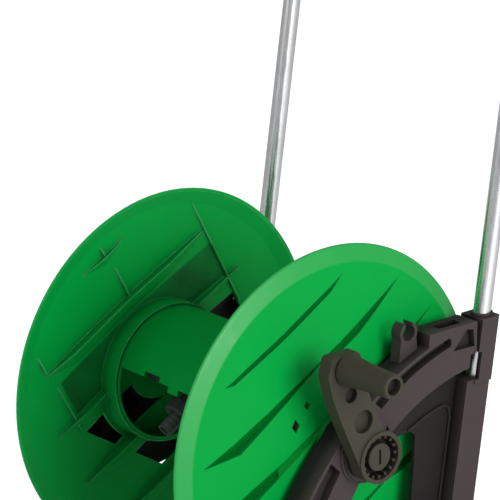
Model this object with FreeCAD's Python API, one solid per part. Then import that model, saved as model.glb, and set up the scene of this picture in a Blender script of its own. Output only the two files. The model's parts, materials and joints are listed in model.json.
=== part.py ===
import FreeCAD, Part
import math
import os

# Garden hose reel cart.  Millimetres.  +X crank side, +Y rear (handle and wheels), +Z up.
# The origin is on the floor, under the middle of the front foot bar.

os.makedirs("parts", exist_ok=True)

V = FreeCAD.Vector
X_AXIS = V(1, 0, 0)
Z_AXIS = V(0, 0, 1)

# ---------------------------------------------------------------- driving dimensions
FLANGE_R = 205.0            # drum flange radius
DRUM_Y = 95.0               # drum axis, behind the foot bar
DRUM_Z = 290.0              # drum axis, above the floor
LIP_X = 130.6               # flange lip, measured from the mid-plane
WALL = 3.0                  # moulded wall thickness
CORE_R = 75.9               # drum core, outside
SPIGOT_R = 78.7             # ring on each flange that holds the core
SPIGOT_X = 122.4
HUB_R = 22.0                # green hub that turns in the frame bush
HUB_CLEARANCE = 0.05
CHANNEL_ANGLE = 29.0        # the pressed channels rise at this angle towards the rear

FRAME_IN_X = 159.0          # side frame, inner and outer planes
FRAME_OUT_X = 189.0
FRAME_WALL = 3.0
GROOVE_DEPTH = 11.0
WEB_X = 167.0               # recessed web panel, inner plane
FOOT_TOP_Z = 30.0           # top of the foot bar, where the legs stand

HANDLE_LEAN = 8.3           # degrees, leaning back
TUBE_X = 174.0
TUBE_R = 9.6
TUBE_WALL = 1.2
TUBE_Y_AT_AXIS = 163.8      # tube centre behind the drum axis, at the axis height
TUBE_LOW_Z = -150.0         # tube end inside the post, from the drum axis
HANDLE_TOP_Z = 880.0

WHEEL_R = 85.0
WHEEL_Y = 142.0             # wheel axle behind the drum axis
WHEEL_IN_X = 194.0
WHEEL_WIDTH = 38.0
AXLE_R = 6.0
AXLE_TUBE_R = 12.5

CRANK_IN_X = 196.0
CRANK_OUT_X = 212.0
GRIP_Y = -46.5              # grip pin from the drum axis
GRIP_Z = 106.0
GRIP_LENGTH = 68.0
GRIP_BASE_R = 17.0
GRIP_TIP_R = 12.2
PIN_R = 5.0
RUNNING_CLEARANCE = 0.05
GAP = 0.3

INLET_SPIGOT_R = 10.0
THREAD_R = 13.22            # three-quarter-inch tap thread, outside
OUTLET_R = 8.0              # hose connector inside the drum


# ---------------------------------------------------------------- helpers
def rel(x, y, z):
    """A point given from the drum axis, put in the cart's frame."""
    return V(x, DRUM_Y + y, DRUM_Z + z)


def cyl(centre, axis, radius, length):
    return Part.makeCylinder(radius, length, centre, axis)


def tube(centre, axis, outer, inner, length):
    return cyl(centre, axis, outer, length).cut(cyl(centre, axis, inner, length))


def box(x0, x1, y0, y1, z0, z1):
    return Part.makeBox(x1 - x0, y1 - y0, z1 - z0, V(x0, y0, z0))


def plate(edges, x0, x1):
    """A closed outline in the plane x = x0, extruded to x1."""
    return Part.Face(Part.Wire(Part.__sortEdges__(edges))).extrude(V(x1 - x0, 0, 0))


def polygon(points, x0, x1):
    """A straight-sided plate; points are (y, z) from the drum axis."""
    corners = [rel(x0, y, z) for y, z in points]
    return Part.Face(Part.makePolygon(corners + corners[:1])).extrude(V(x1 - x0, 0, 0))


def rounded_polygon(points, radius, x0, x1):
    """A plate whose corners are arcs of one radius; points are (y, z) from the drum axis."""
    edges, ends = [], []
    count = len(points)
    for i in range(count):
        here = rel(x0, *points[i])
        before = (rel(x0, *points[i - 1]) - here).normalize()
        after = (rel(x0, *points[(i + 1) % count]) - here).normalize()
        half = 0.5 * math.acos(max(-1.0, min(1.0, before.dot(after))))
        reach = radius / math.tan(half)
        inward = (before + after).normalize()
        start = here + before * reach
        end = here + after * reach
        middle = here + inward * (radius / math.sin(half) - radius)
        edges.append(Part.Arc(start, middle, end).toShape())
        ends.append((start, end))
    for i in range(count):
        edges.append(Part.LineSegment(ends[i][1], ends[(i + 1) % count][0]).toShape())
    return plate(edges, x0, x1)


def revolve(points, centre):
    """Profile of (radius, x) points turned about the X axis through centre (a y, z pair)."""
    corners = [V(x, centre[0] + r, centre[1]) for r, x in points]
    face = Part.Face(Part.makePolygon(corners + corners[:1]))
    return face.revolve(V(0, centre[0], centre[1]), X_AXIS, 360)


def mirror(shape):
    return shape.mirror(V(0, 0, 0), X_AXIS)


def join(shapes):
    first = shapes[0]
    return first.fuse(shapes[1:]).removeSplitter() if len(shapes) > 1 else first


def rounded(shape, radius, pick):
    """Fillet the edges that pick(edge) accepts; leave the shape as it is if that fails."""
    edges = [e for e in shape.Edges if pick(e)]
    try:
        result = shape.makeFillet(radius, edges)
        return result if result.isValid() else shape
    except Part.OCCError:
        return shape


def save(name, shape):
    solids = shape.Solids
    result = solids[0] if len(solids) == 1 else Part.makeCompound(solids)
    result.exportStep("parts/%s.step" % name)
    print("%-22s %2d solid(s) %9.1f cm3 valid %s" % (name, len(solids), result.Volume / 1000, result.isValid()))
    return result


def pan_screw(head, direction, radius, length):
    """A pan-head screw: head centre on the face it clamps, pointing along direction."""
    screw = cyl(head - direction * (radius * 0.9), direction, radius * 1.9, radius * 0.9)
    shank = cyl(head, direction, radius, length)
    slot = box(-radius * 0.25, radius * 0.25, -radius * 1.3, radius * 1.3, -0.1, radius * 0.5)
    turn = FreeCAD.Rotation(Z_AXIS, direction)
    slots = []
    for angle in (0, 90):
        cross = slot.copy()
        cross.Placement = FreeCAD.Placement(head - direction * (radius * 0.9), turn.multiply(
            FreeCAD.Rotation(Z_AXIS, angle)))
        slots.append(cross)
    return screw.fuse(shank).cut(slots[0]).cut(slots[1])


# ---------------------------------------------------------------- drum flanges
ALONG = V(0, math.cos(math.radians(CHANNEL_ANGLE)), math.sin(math.radians(CHANNEL_ANGLE)))
ACROSS = V(0, -ALONG.z, ALONG.y)
SHOULDER_R = 187.0          # start of the sloping shoulder
SHOULDER_X = 139.6
SEAT_CUT = 1.3              # the channels are no deeper than this over the core's seat
HUB_FACE_R = 58.0
HUB_FACE_X = 151.5


CHANNEL_SLOPE = 0.6          # depth of a pressed channel for its width
RIGHT_CHANNELS = (0.73, 0.455, 0.165, -0.125, -0.415, -0.705)      # straight edges, in flange radii
CHANNEL_LOBES = ((-0.73, .004), (-0.52, .085), (-0.28, .055), (0.02, .022), (0.14, .016), (0.27, .055),
                 (0.40, .058), (0.56, .038), (0.76, .004))
CHANNEL_LENS = ((-0.41, .005), (-0.36, .028), (0.0, .036), (0.36, .030), (0.46, .005))
LEFT_RIDGES = (0.815, 0.50, 0.15, -0.20, -0.53)
LEFT_SPREAD = ((-0.73, .02), (-0.5, .085), (0.0, .075), (0.4, .08), (0.7, .03))
LEFT_LENS = ((-0.35, .01), (0.0, .05), (0.35, .01))
RIGHT_RIBS = ((-0.60, 0.20, 0.60), (0.03, 0.44, 0.68), (0.60, 0.06, 0.66), (0.60, -0.55, -0.12))
LEFT_RIBS = ((0.60, -0.03, 0.67), (0.03, 0.445, 0.69), (-0.59, 0.066, 0.387), (-0.615, 0.515, 0.62),
             (0.0, 0.81, 0.87))


def face_x(radius):
    """Outer surface of the shallow cone between the hub face and the shoulder."""
    share = (radius - HUB_FACE_R) / (SHOULDER_R - HUB_FACE_R)
    return HUB_FACE_X + (SHOULDER_X - HUB_FACE_X) * max(0.0, share)


def flange_point(s, d, x):
    """s along the channels, d across them, both from the drum axis."""
    return rel(x, 0, 0) + ALONG * s + ACROSS * d


def channel(stations, ridge):
    """A pressed channel of the crank side flange: straight upper edge, bulging lower edge.

    stations are (s, d, width); the floor slopes in from the straight edge to a steep lower wall.
    With ridge set it is the matching raised back on the inner face.
    """
    sections = []
    for s, d, width in stations:
        surface = face_x(math.hypot(s, d - width))
        low, depth = d - width, CHANNEL_SLOPE * width
        if ridge:
            corners = [(low - WALL, surface - depth - WALL), (low - WALL, surface - WALL * 0.5),
                       (d + 2 * WALL, surface - WALL * 0.5)]
        else:
            corners = [(low, surface - depth), (low, surface + 3.0), (d + 3.0 / CHANNEL_SLOPE, surface + 3.0)]
        points = [flange_point(s, k, x) for k, x in corners]
        sections.append(Part.makePolygon(points + points[:1]))
    return Part.makeLoft(sections, True, True)


def inner_ridge(stations):
    """A raised back on the inlet side flange: steep straight edge, sloping towards lower d."""
    sections = []
    for s, d, width in stations:
        surface = face_x(math.hypot(s, d))
        depth = CHANNEL_SLOPE * width
        corners = [(d, surface - depth - WALL), (d, surface - WALL * 0.5), (d - width - WALL, surface - WALL * 0.5)]
        points = [flange_point(s, k, x) for k, x in corners]
        sections.append(Part.makePolygon(points + points[:1]))
    return Part.makeLoft(sections, True, True)


def channel_stations(d):
    """Lobed along its length; the outermost channels are single lenses."""
    outermost = abs(d) > 0.6
    reach = 1.0 if outermost else math.sqrt(0.91 ** 2 - d ** 2) / 0.80
    lobes = CHANNEL_LENS if outermost else CHANNEL_LOBES
    return [(s * reach * FLANGE_R, d * FLANGE_R, w * FLANGE_R) for s, w in lobes]


def pan(raised, cuts):
    """The flange dish with its hub and core spigot; raised backs are kept inside the rim."""
    outer = [(FLANGE_R, LIP_X), (FLANGE_R, LIP_X + 1.0), (FLANGE_R - 1.2, LIP_X + 2.4), (FLANGE_R - 3.0, LIP_X + 3.3),
             (SHOULDER_R, SHOULDER_X), (HUB_FACE_R, HUB_FACE_X), (34.0, HUB_FACE_X + 0.5), (33.0, 156.4),
             (HUB_R, 156.4), (HUB_R, 190.5), (19.6, 190.5), (19.6, 202.0), (0.0, 202.0)]
    inner = [(0.0, HUB_FACE_X - WALL), (HUB_FACE_R, HUB_FACE_X - WALL), (SHOULDER_R - 0.8, SHOULDER_X - WALL),
             (FLANGE_R - 3.8, LIP_X + 0.5), (FLANGE_R - 3.4, LIP_X)]
    body = revolve(outer + inner, (DRUM_Y, DRUM_Z))
    spigot = tube(rel(SPIGOT_X, 0, 0), X_AXIS, SPIGOT_R, SPIGOT_R - 2.5, face_x(SPIGOT_R) - 1.0 - SPIGOT_X)
    rim_limit = cyl(rel(LIP_X - 20, 0, 0), X_AXIS, FLANGE_R - 3.0, 50)
    core_room = cyl(rel(LIP_X - 20, 0, 0), X_AXIS, SPIGOT_R - 2.0, 60)
    backs = [shape.common(rim_limit).cut(core_room) for shape in raised]
    body = body.fuse([spigot] + backs)
    for shape in cuts + snap_slots():
        body = body.cut(shape)
    return body


def flange_right():
    """Crank side flange: six pressed channels that stop short of the core's seat."""
    seat = cyl(rel(100, 0, 0), X_AXIS, SPIGOT_R + 4, 80)
    under = revolve([(0, 100), (0, HUB_FACE_X - SEAT_CUT), (HUB_FACE_R, HUB_FACE_X - SEAT_CUT),
                     (SPIGOT_R + 5, face_x(SPIGOT_R + 5) - SEAT_CUT), (SPIGOT_R + 5, 100)], (DRUM_Y, DRUM_Z))
    ridges, grooves = [], []
    for d in RIGHT_CHANNELS:
        stations = channel_stations(d)
        ridges.append(channel(stations, True))
        groove = channel(stations, False)
        grooves.append(groove.cut(seat))
        if abs(d) * FLANGE_R < SPIGOT_R:
            grooves.append(groove.common(seat).cut(under).cut(cyl(rel(100, 0, 0), X_AXIS, 37.0, 80)))
    screw_hole = cyl(rel(178.0, 0, 0), X_AXIS, 3.0, 40)
    return pan(ridges + cross_ribs(RIGHT_RIBS), grooves + [screw_hole])


def cross_ribs(places):
    """Thin fins across the channels on the inner face; each place is (s, lowest d, highest d)."""
    fins = []
    for s, d0, d1 in places:
        corners = []
        for share, drop in ((0.0, 6.0), (0.5, 6.5), (1.0, 4.0), (1.0, 1.5), (0.5, 1.5), (0.0, 1.5)):
            d = (d0 + (d1 - d0) * share) * FLANGE_R
            corners.append(flange_point(s * FLANGE_R, d, face_x(math.hypot(s * FLANGE_R, d)) - drop))
        fins.append(Part.Face(Part.makePolygon(corners + corners[:1])).extrude(ALONG * 2.2))
    return fins


def flange_prism(places):
    """A plate through the flange; places are (s, d) in flange radii."""
    corners = [flange_point(s * FLANGE_R, d * FLANGE_R, LIP_X - 6) for s, d in places]
    return Part.Face(Part.makePolygon(corners + corners[:1])).extrude(V(40, 0, 0))


def flange_windows():
    """Openings between the ridges, clear of the core's seat, the hub and the solid lower panel."""
    keep = tube(rel(100, 0, 0), X_AXIS, 0.415 * FLANGE_R, 69.0, 80).fuse(cyl(rel(100, 0, 0), X_AXIS, 37.0, 80))
    panel = flange_prism(((-0.58, 0.066), (-0.245, -0.526), (-0.9, -0.9), (-1.1, 0.066)))
    cuts = []
    for s0, s1, d0, d1 in ((-0.57, 0.60, -0.18, 0.03), (-0.57, 0.60, -0.50, -0.31)):
        window = flange_prism(((s0, d0), (s1, d0), (s1, d1), (s0, d1)))
        cuts.append(window.cut(keep).cut(panel))
    return cuts


def snap_slots():
    """Pairs of lozenge slots over the core's snap hooks."""
    slots = []
    for angle, radius, size in ((153, 67.5, 5.2), (132, 67.0, 3.8), (333, 67.5, 5.2), (312, 67.0, 3.8)):
        y = radius * math.cos(math.radians(angle))
        z = radius * math.sin(math.radians(angle))
        slots.append(polygon([(y - size, z), (y, z + size * 1.5), (y + size, z), (y, z - size * 1.5)], 140, 160))
    return slots


# ---------------------------------------------------------------- drum core and water way
CUTOUT_START = 162.0        # the opening in the core, degrees from +Y towards +Z
CUTOUT_END = 285.0


def sector(x0, x1, radius, start, end):
    """Solid pie slice about the drum axis."""
    a0, a1 = math.radians(start), math.radians(end)
    am = 0.5 * (a0 + a1)
    p = [rel(x0, radius * math.cos(a), radius * math.sin(a)) for a in (a0, am, a1)]
    edges = [Part.LineSegment(rel(x0, 0, 0), p[0]).toShape(), Part.Arc(*p).toShape(),
             Part.LineSegment(p[2], rel(x0, 0, 0)).toShape()]
    return plate(edges, x0, x1)


def core_shell():
    half = face_x(SPIGOT_R) - WALL - 2 * GAP
    shell = tube(rel(-half, 0, 0), X_AXIS, CORE_R, CORE_R - WALL, 2 * half)
    opening = sector(-SPIGOT_X + 1, SPIGOT_X - 1, CORE_R + 5, CUTOUT_START, CUTOUT_END)
    notch = sector(-82, -56, CORE_R + 5, CUTOUT_START - 4.5, CUTOUT_START + 2)
    shell = shell.cut(opening).cut(notch)
    tabs = []
    for x in (-40.0, 48.0):
        tab = tube(rel(x, 0, 0), X_AXIS, CORE_R, CORE_R - WALL, 16.0)
        tabs.append(tab.common(sector(x, x + 16.0, CORE_R + 5, CUTOUT_START - 1, CUTOUT_START + 5)))
    rib = tube(rel(-2, 0, 0), X_AXIS, CORE_R - WALL + 0.5, CORE_R - 16, 4.0)
    rib = rib.cut(sector(-4, 4, CORE_R + 5, CUTOUT_START, CUTOUT_END))
    return shell.fuse(tabs + [rib])


PIPE_R = 15.0
JUNCTION_R = 19.0
OUTLET_ANGLE = 212.0        # the hose leaves towards the front, below the axis
OUTLET_DIR = V(0, math.cos(math.radians(OUTLET_ANGLE)), math.sin(math.radians(OUTLET_ANGLE)))
JUNCTION_X = -64.0


def water_pipe():
    """Turning pipe through the inlet side hub: socket outside, junction block inside."""
    socket_end = -(FRAME_OUT_X + 10.0)
    body = cyl(rel(socket_end, 0, 0), X_AXIS, PIPE_R, JUNCTION_X + 20 - socket_end)
    block = cyl(rel(JUNCTION_X - 22, 0, 0), X_AXIS, JUNCTION_R, 44)
    branch = cyl(rel(JUNCTION_X, 0, 0), OUTLET_DIR, 12.5, 34)
    socket = cyl(rel(socket_end - 1, 0, 0), X_AXIS, INLET_SPIGOT_R + RUNNING_CLEARANCE, 31)
    way = cyl(rel(socket_end, 0, 0), X_AXIS, 6.5, JUNCTION_X - socket_end)
    side_way = cyl(rel(JUNCTION_X, 0, 0), OUTLET_DIR, 6.5, 40)
    return join([body, block, branch]).cut(socket).cut(way).cut(side_way)


def drum_shaft():
    """Dark stub that joins the junction block to the crank side hub."""
    start = JUNCTION_X + 22 + GAP
    end = HUB_FACE_X - WALL - GAP
    body = cyl(rel(start, 0, 0), X_AXIS, 13.0, end - start)
    collar = cyl(rel(end - 8, 0, 0), X_AXIS, 30.0, 8)
    fins = [box(start + 10, end - 8, DRUM_Y - 1.5, DRUM_Y + 1.5, DRUM_Z - 22, DRUM_Z + 22),
            box(start + 10, end - 8, DRUM_Y - 22, DRUM_Y + 22, DRUM_Z - 1.5, DRUM_Z + 1.5)]
    return join([body, collar] + fins)


def outlet_nut():
    start = rel(JUNCTION_X, 0, 0) + OUTLET_DIR * (34 + GAP)
    ring = tube(start, OUTLET_DIR, 17.0, 9.0, 14.0)
    across = V(1, 0, 0)
    teeth = []
    for i in range(16):
        spin = FreeCAD.Rotation(OUTLET_DIR, i * 22.5)
        at = start + spin.multVec(across) * 17.0
        teeth.append(cyl(at + OUTLET_DIR * 1.5, OUTLET_DIR, 1.1, 11.0))
    return ring.fuse(teeth)


def outlet_tail():
    """Barbed hose tail held by the nut."""
    start = rel(JUNCTION_X, 0, 0) + OUTLET_DIR * (34 + 2 * GAP)
    body = cyl(start, OUTLET_DIR, 8.6, 15.0)
    tail = cyl(start + OUTLET_DIR * 15.0, OUTLET_DIR, OUTLET_R, 20.0)
    barbs = [Part.makeCone(OUTLET_R + 0.9, OUTLET_R, 5.0, start + OUTLET_DIR * (16.0 + 6.0 * i), OUTLET_DIR)
             for i in range(3)]
    return join([body, tail] + barbs).cut(cyl(start, OUTLET_DIR, 5.5, 40.0))


# ---------------------------------------------------------------- side frames
OUTER_ARC = (191.0, -215.0, 322.0)      # centre y, z from the drum axis, and radius
GROOVE_LOW_ARC = (185.0, -181.0, 274.0)
INNER_ARC = (174.5, -170.0, 227.0)
ARCH_EDGE = 3.5             # lip left outside the groove
LEAN = math.tan(math.radians(HANDLE_LEAN))
LEG_BOTTOM = FOOT_TOP_Z - DRUM_Z
POST_FRONT_Y = 139.5        # post faces at the axis height, from the drum axis
POST_REAR_Y = 176.0
SLEEVE_LOW_Z = 36.0
POST_TOP_Z = 104.5


def disc(arc, extra, x0, x1):
    """Cylinder on one of the arch circles, grown by extra."""
    return cyl(rel(x0, arc[0], arc[1]), X_AXIS, arc[2] + extra, x1 - x0)


def lean_strip(front, rear, bottom, top, x0, x1):
    """Plate between two leaning lines; front and rear are y at the axis height."""
    return polygon([(front + bottom * LEAN, bottom), (rear + bottom * LEAN, bottom),
                    (rear + top * LEAN, top), (front + top * LEAN, top)], x0, x1)


def leaning(front, rear, bottom, top, x0, x1):
    """Leaning post whose outer rear corner is chamfered."""
    chamfer = 3.5
    base = [V(x, DRUM_Y + y + bottom * LEAN, DRUM_Z + bottom) for x, y in
            ((x0, front), (x1, front), (x1, rear - chamfer), (x1 - chamfer, rear), (x0, rear))]
    return Part.Face(Part.makePolygon(base + base[:1])).extrude(V(0, (top - bottom) * LEAN, top - bottom))


def arch():
    """Solid arch with its straight leg end."""
    x0, x1 = FRAME_IN_X, FRAME_OUT_X
    band = disc(OUTER_ARC, 0, x0, x1).cut(disc(INNER_ARC, 0, x0 - 1, x1 + 1))
    field = polygon([(-140, -215), (-140, 110), (154.6, 110), (POST_FRONT_Y + 5 - 215 * LEAN, -215)], x0, x1)
    leg = polygon([(-131, -215), (-131, LEG_BOTTOM), (-57, LEG_BOTTOM), (-52.5, -170), (-127.8, -170)], x0, x1)
    return join([band.common(field), leg.cut(disc(INNER_ARC, 0, x0 - 1, x1 + 1))])


def arch_grooves():
    """Concentric recess, broken by a bridge beside the hub."""
    x0 = FRAME_OUT_X - GROOVE_DEPTH
    x1 = FRAME_OUT_X + 1
    band = disc(OUTER_ARC, -ARCH_EDGE, x0, x1).cut(disc(GROOVE_LOW_ARC, 0, x0 - 1, x1 + 1))
    upper = polygon([(14, 60), (14, 48), (25, 38), (34, 42), (118, 60), (121, 91), (117, 98), (122, 110), (60, 140)],
                    x0, x1)
    lower = polygon([(-60, 12), (-34, -14), (-40, LEG_BOTTOM + 38), (-150, LEG_BOTTOM + 38), (-150, 12)], x0, x1)
    return [band.common(upper), band.common(lower)]


def inner_pockets():
    """Hollows on the inner side, split into cells by ribs that fan out from one point."""
    x0 = FRAME_IN_X - 1
    outer_band = disc(OUTER_ARC, -FRAME_WALL, x0, FRAME_OUT_X - GROOVE_DEPTH - FRAME_WALL)
    outer_band = outer_band.cut(disc(GROOVE_LOW_ARC, FRAME_WALL, x0 - 1, FRAME_OUT_X))
    centre_band = disc(GROOVE_LOW_ARC, -FRAME_WALL, x0, FRAME_OUT_X - FRAME_WALL)
    centre_band = centre_band.cut(disc(INNER_ARC, FRAME_WALL, x0 - 1, FRAME_OUT_X))
    field = polygon([(-200, LEG_BOTTOM + 26), (-20, LEG_BOTTOM + 26), (84, 40), (84, 109), (-200, 109)],
                    x0, FRAME_OUT_X)
    boss_room = cyl(rel(x0 - 1, 0, 0), X_AXIS, 40.0, 40)
    ribs = []
    for angle in range(100, 185, 12):
        rib = box(x0 - 1, FRAME_OUT_X + 1, 0, 430, -1.2, 1.2)
        rib.rotate(V(0, 0, 0), X_AXIS, angle)
        rib.translate(rel(0, 188.0, -200.0))
        ribs.append(rib)
    pockets = []
    for band in (outer_band, centre_band):
        pocket = band.common(field).cut(boss_room)
        for rib in ribs:
            pocket = pocket.cut(rib)
        pockets.append(pocket)
    return pockets


def ribbon(points, half, x0, x1):
    """A raised line of even width along open (y, z) points."""
    left, right = [], []
    for i in range(len(points)):
        before, after = points[max(i - 1, 0)], points[min(i + 1, len(points) - 1)]
        run, rise = after[0] - before[0], after[1] - before[1]
        size = math.hypot(run, rise)
        left.append((points[i][0] - half * rise / size, points[i][1] + half * run / size))
        right.append((points[i][0] + half * rise / size, points[i][1] - half * run / size))
    return polygon(left + right[::-1], x0, x1)


def web():
    """Recessed panel between arch and post, with a raised line that follows its outline."""
    x0, x1 = WEB_X, WEB_X + 4.0
    panel = polygon([(50, 8), (58, -6), (71, -5), (80, -4), (88, -10), (87, -39), (84, -83), (70, -160), (40, -240),
                     (137, -205), (150, 40), (60, 60)], x0, x1)
    foot = POST_FRONT_Y - 3.2 - 190 * LEAN
    line = [(76, -2), (95, 6), (114, 12), (125, 14), (131, 12.5), (135, 8), (136, 0), (133.8, -17),
            (131.8, -31), (127.4, -61), (foot, -190)]
    return [panel.cut(cyl(rel(x0 - 1, 0, 0), X_AXIS, 30.0, 20)), ribbon(line, 1.5, x1 - 0.5, x1 + 2.5)]


def top_block():
    """Head that joins the arch to the tube sleeve."""
    return polygon([(88, 80), (90, POST_TOP_Z), (158, POST_TOP_Z), (158, 70), (100, 70)], FRAME_IN_X, FRAME_OUT_X)


def frame_recesses():
    """Recesses of the outer face: groove, head, post slit and the corner beside the hub."""
    x0, x1 = FRAME_IN_X, FRAME_OUT_X
    slit_low, slit_high = 40.0, 70.0
    return arch_grooves() + [
        polygon([(143, 99), (153, 97), (155, 78), (124, 79), (129, 85)], x1 - 9, x1 + 5),
        polygon([(112, POST_TOP_Z - 6), (143, POST_TOP_Z - 6), (143, 120), (112, 120)], x0 + 9, x1 - 9),
        polygon([(30.2, 20.3), (34.6, 14.0), (25.6, 16.2)], x1 - 6, x1 + 5),
        lean_strip(148.5, 154.8, slit_low, slit_high, x1 - 12, x1 + 5),
        lean_strip(144.0, 163.0, slit_low, slit_high, x1 - 25, x1 - 2)]


def hub_plate():
    """Round plate that closes the upper part of the window on the inlet side."""
    plate_disc = cyl(rel(WEB_X, 0, 0), X_AXIS, 125.0, 4.0)
    return plate_disc.common(disc(INNER_ARC, 2.0, WEB_X - 1, WEB_X + 6)).cut(cyl(rel(WEB_X - 1, 0, 0), X_AXIS, 30.0, 8))


def side_frame(extras):
    """Right-hand frame moulding: arch, hub boss, post with tube socket, web, rail and axle boss."""
    x0, x1 = FRAME_IN_X, FRAME_OUT_X
    axle_z = WHEEL_R - DRUM_Z
    post = leaning(POST_FRONT_Y, POST_REAR_Y, axle_z, SLEEVE_LOW_Z + 4.0, x0, x1)
    sleeve = leaning(POST_FRONT_Y + 10.5, POST_REAR_Y + 1.0, SLEEVE_LOW_Z, POST_TOP_Z, x0 - 1.5, x1 + 1.5)
    axle_boss = cyl(rel(x0, WHEEL_Y, axle_z), X_AXIS, 25.0, x1 - x0 + 2.5)
    rail = polygon([(-62, LEG_BOTTOM), (40, LEG_BOTTOM), (WHEEL_Y - 4, axle_z - 25), (WHEEL_Y - 10, axle_z + 16),
                    (40, LEG_BOTTOM + 38), (-62, LEG_BOTTOM + 38)], x0 + 3, x1 - 3)
    hub = cyl(rel(x0 - 2.0, 0, 0), X_AXIS, 34.0, x1 - x0 + 4.0)
    solid = join([arch(), post, sleeve, top_block(), axle_boss, rail, hub] + web() + extras)
    cuts = frame_recesses() + inner_pockets()
    cuts.append(cyl(rel(x0 - 10, 0, 0), X_AXIS, HUB_R + 4.0, 60))
    cuts.append(cyl(rel(x0 - 10, WHEEL_Y, axle_z), X_AXIS, AXLE_R + 0.2, 60))
    cuts.append(cyl(rel(x0 - 1, WHEEL_Y, axle_z), X_AXIS, AXLE_TUBE_R + 0.1, 9))
    cuts.append(tube_line(TUBE_R + 0.15, TUBE_LOW_Z - 2, 140.0))
    cuts.append(foot_socket(0.3))
    for y, z in foot_screw_places():
        cuts.append(cyl(rel(x0 + 2, y, z), X_AXIS, 2.6, 40))
    for z in TUBE_SCREW_Z:
        cuts.append(cyl(rel(x0 - 5, tube_y(z), z), X_AXIS, 2.3, TUBE_X - x0 + 5))
    for shape in cuts:
        solid = solid.cut(shape)
    return solid


def tube_y(z):
    """Handle tube centre, from the drum axis, at height z from the drum axis."""
    return TUBE_Y_AT_AXIS + z * LEAN


TUBE_DIR = V(0, math.sin(math.radians(HANDLE_LEAN)), math.cos(math.radians(HANDLE_LEAN)))
TUBE_SCREW_Z = (86.0, -70.0)


def tube_line(radius, z0, z1):
    """A cylinder on the handle tube's centre line between two heights."""
    length = (z1 - z0) / TUBE_DIR.z
    return cyl(rel(TUBE_X, tube_y(z0), z0), TUBE_DIR, radius, length)


def foot_screw_places():
    return [(y, LEG_BOTTOM + 11) for y in (-108.0, -78.0)]


UPSTAND = (-118.0, -68.0, 20.0)         # front and rear from the drum axis, and height


def foot_socket(gap):
    """Room in the leg for the upstand of the foot bar."""
    front, rear, height = UPSTAND
    return box(FRAME_IN_X + 5 - gap, FRAME_OUT_X - 5 + gap, DRUM_Y + front - gap, DRUM_Y + rear + gap,
               FOOT_TOP_Z - 1, FOOT_TOP_Z + height + gap)


# ---------------------------------------------------------------- cross members, axle and feet
FOOT_FRONT = -131.0         # foot block under each leg, from the drum axis
FOOT_REAR = -54.0


def foot_bar():
    """Moulded bar across the front, flat underneath, with an upstand in each leg."""
    half = FRAME_OUT_X - 1.0
    beam = box(-half, half, -18, 18, 0, FOOT_TOP_Z - GAP)
    beam = rounded(beam, 7.0, lambda e: e.Vertexes[0].Z > 20 and e.Vertexes[-1].Z > 20 and e.Length > 50)
    front, rear, height = UPSTAND
    block = box(FRAME_IN_X - 4, half, DRUM_Y + FOOT_FRONT, DRUM_Y + FOOT_REAR, 0, FOOT_TOP_Z - GAP)
    block = block.fuse(box(FRAME_IN_X + 5, FRAME_OUT_X - 5, DRUM_Y + front, DRUM_Y + rear,
                           FOOT_TOP_Z - 4, FOOT_TOP_Z + height))
    for y, z in foot_screw_places():
        block = block.cut(cyl(rel(FRAME_OUT_X - 23, y, z), X_AXIS, 2.5, 30))
    hollow = box(-FRAME_IN_X + 12, FRAME_IN_X - 12, -12, 12, -1, 5)
    return join([beam, block, mirror(block)]).cut(hollow.cut(box(-40, 40, -20, 20, -2, 10)))


def foot_pad():
    """Rubber pad on the outer side of one foot block."""
    pad = box(FRAME_OUT_X - 1 + GAP, FRAME_OUT_X + 6, DRUM_Y + FOOT_FRONT + 2, DRUM_Y + FOOT_REAR - 2, 0, 20)
    return rounded(pad, 3.0, lambda e: e.Length < 30)


def axle():
    end = WHEEL_IN_X + WHEEL_WIDTH + 5
    rod = cyl(V(-end, DRUM_Y + WHEEL_Y, WHEEL_R), X_AXIS, AXLE_R, 2 * end)
    return rounded(rod, 1.0, lambda e: e.Length < 50 and e.Closed)


def axle_cap():
    """Push-on steel cap at the end of the axle."""
    x = WHEEL_IN_X + WHEEL_WIDTH + 1.0
    ring = tube(V(x, DRUM_Y + WHEEL_Y, WHEEL_R), X_AXIS, 11.0, AXLE_R, 1.2)
    dome = tube(V(x + 1.2, DRUM_Y + WHEEL_Y, WHEEL_R), X_AXIS, 7.6, AXLE_R, 3.6)
    lid = cyl(V(x + 4.8, DRUM_Y + WHEEL_Y, WHEEL_R), X_AXIS, 7.6, 0.9)
    return ring.fuse([dome, lid])


def wheel_centre(x):
    return V(x, DRUM_Y + WHEEL_Y, WHEEL_R)


RIM_R = 74.0
SPOKES = 6


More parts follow.
